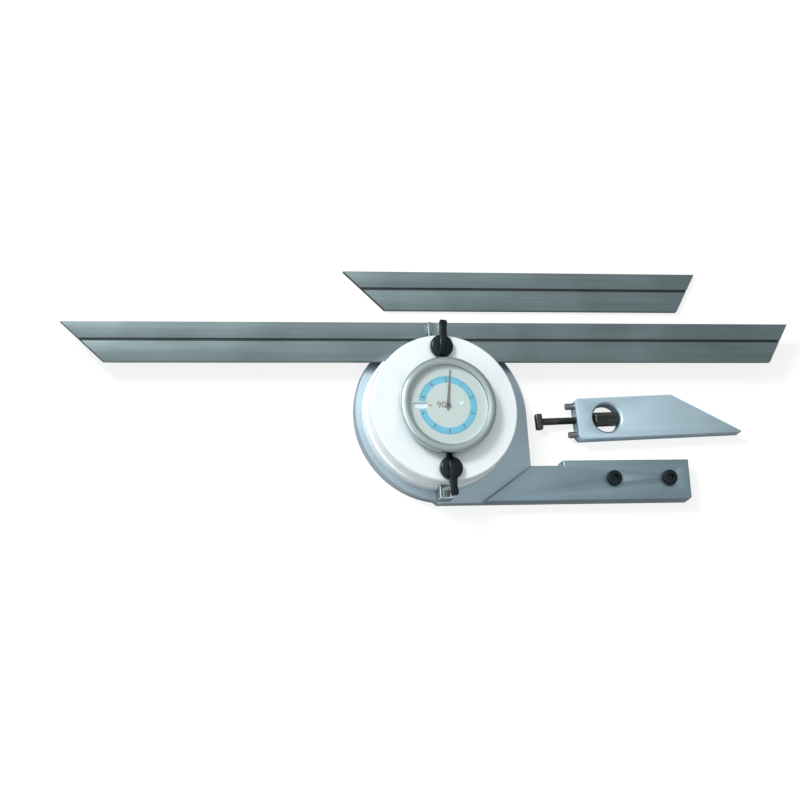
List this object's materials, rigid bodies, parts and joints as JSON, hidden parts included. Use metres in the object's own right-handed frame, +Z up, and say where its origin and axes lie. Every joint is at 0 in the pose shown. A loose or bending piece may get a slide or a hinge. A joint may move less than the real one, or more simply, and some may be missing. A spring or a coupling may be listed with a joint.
{
  "type": "bevel protractor",
  "caption": "Universal dial bevel protractor with a turning turret, clamped sliding blade, geared pointer dial, spare blade and acute-angle attachment.",
  "frame": {"origin": "on the axis of the turret, in the plane of the back that the protractor lies on", "axes": "+X along the stock away from the turret, +Y from the stock to the blade, +Z up out of the dial"},
  "size_m": [0.3, 0.0967, 0.0243],
  "materials": {
    "frame_steel": "fine ground steel, blue-grey",
    "stock_steel": "hardened ground steel, lengthwise grain",
    "blade_steel": "hardened ground steel, darker, lengthwise grain",
    "satin_chrome": "satin chrome, almost white",
    "bezel_chrome": "polished chrome",
    "bright_chrome": "bright plated ring",
    "jaw_steel": "ground and polished",
    "hard_steel": "turned steel",
    "dark_steel": "dark oiled steel",
    "black_steel": "black oxide",
    "lever_black": "moulded black lever, soft gloss",
    "brass": "fine turned brass",
    "bronze": "bearing bronze",
    "dial_white": "matt printed dial",
    "tens_white": "matt printed disc",
    "pointer_dark": "dark lacquer",
    "crystal": "clear, polished"
  },
  "bodies": {
    "frame": {"frame_plate": "frame_steel", "stock": "stock_steel", "stock_screws": "black_steel", "stock_dowels": "hard_steel", "turret_post": "hard_steel", "post_screws": "black_steel", "back_cover": "satin_chrome", "back_cover_screws": "black_steel", "sun_gear": "brass", "sun_gear_nut": "hard_steel"},
    "turret": {"turret_base": "satin_chrome", "turret_bush": "bronze", "dial_housing": "satin_chrome", "housing_screws": "black_steel", "movement_plate": "brass", "movement_screws": "hard_steel", "movement_pillars": "brass", "dial_bridge": "brass", "bridge_screws": "hard_steel", "dial_face": "dial_white", "spacer_ring": "bright_chrome", "crystal": "crystal", "bezel": "bezel_chrome"},
    "idler": {"idler_arbor": "hard_steel", "idler_lower_pinion": "hard_steel", "idler_wheel": "brass", "idler_upper_pinion": "hard_steel"},
    "pointer": {"centre_pinion": "hard_steel", "pointer_arbor": "hard_steel", "pointer": "pointer_dark"},
    "tens_dial": {"tens_wheel": "brass", "tens_disc": "tens_white"},
    "blade": {"long_blade": "blade_steel"},
    "blade_clamp_lever": {"blade_lever": "lever_black", "blade_lever_stud": "hard_steel"},
    "blade_clamp_jaw": {"blade_jaw": "jaw_steel"},
    "lock_clamp_lever": {"lock_lever": "lever_black", "lock_lever_stud": "hard_steel"},
    "lock_clamp_jaw": {"lock_jaw": "jaw_steel"},
    "spare_blade": {"short_blade": "blade_steel"},
    "attachment": {"acute_block": "stock_steel", "acute_pins": "hard_steel"},
    "attachment_bolt": {"acute_bolt": "dark_steel"},
    "attachment_nut": {"acute_nut": "dark_steel"}
  },
  "joints": [
    {"name": "turret_turn", "type": "hinge", "parent": "frame", "child": "turret", "pos_m": [0, 0, 0.008], "axis": [0, 0, 1], "continuous": true},
    {"name": "idler_spin", "type": "hinge", "parent": "turret", "child": "idler", "pos_m": [0.0105, 0, 0.012], "axis": [0, 0, 1], "continuous": true},
    {"name": "pointer_spin", "type": "hinge", "parent": "turret", "child": "pointer", "pos_m": [0, 0, 0.015], "axis": [0, 0, 1], "continuous": true},
    {"name": "tens_dial_spin", "type": "hinge", "parent": "turret", "child": "tens_dial", "pos_m": [0, 0, 0.02], "axis": [0, 0, 1], "continuous": true},
    {"name": "blade_slide", "type": "slide", "parent": "turret", "child": "blade", "axis": [1, 0, 0], "range_m": [-0.12, 0.11]},
    {"name": "blade_lever_turn", "type": "hinge", "parent": "turret", "child": "blade_clamp_lever", "pos_m": [0, 0.02465, 0.02], "axis": [0, 0, 1], "range_deg": [-1, 91]},
    {"name": "blade_jaw_lift", "type": "slide", "parent": "turret", "child": "blade_clamp_jaw", "axis": [0, 0, 1], "range_m": [0, 0.00025]},
    {"name": "lock_lever_turn", "type": "hinge", "parent": "turret", "child": "lock_clamp_lever", "pos_m": [0, -0.02465, 0.02], "axis": [0, 0, 1], "range_deg": [-1, 91]},
    {"name": "lock_jaw_lift", "type": "slide", "parent": "turret", "child": "lock_clamp_jaw", "axis": [0, 0, 1], "range_m": [0, 0.00025]},
    {"name": "spare_blade_lift", "type": "slide", "parent": "frame", "child": "spare_blade", "axis": [0, 0, 1], "range_m": [0, 0.05]},
    {"name": "attachment_lift", "type": "slide", "parent": "frame", "child": "attachment", "axis": [0, 0, 1], "range_m": [0, 0.05]},
    {"name": "attachment_nut_turn", "type": "hinge", "parent": "attachment", "child": "attachment_nut", "pos_m": [0.07109, -0.00101, 0.003], "axis": [0.9993, 0.0384, 0], "range_deg": [-10, 5050]},
    {"name": "attachment_bolt_slide", "type": "slide", "parent": "attachment", "child": "attachment_bolt", "axis": [0.9993, 0.0384, 0], "range_m": [0, 0.007]}
  ],
  "couplings": [
    {"joint": "idler_spin", "follows": "turret_turn", "ratio": 6},
    {"joint": "pointer_spin", "follows": "turret_turn", "ratio": -36},
    {"joint": "tens_dial_spin", "follows": "turret_turn", "ratio": -1},
    {"joint": "blade_lever_turn", "follows": "blade_jaw_lift", "rad_per_m": 6283.2},
    {"joint": "lock_lever_turn", "follows": "lock_jaw_lift", "rad_per_m": 6283.2},
    {"joint": "attachment_nut_turn", "follows": "attachment_bolt_slide", "rad_per_m": 12566}
  ]
}
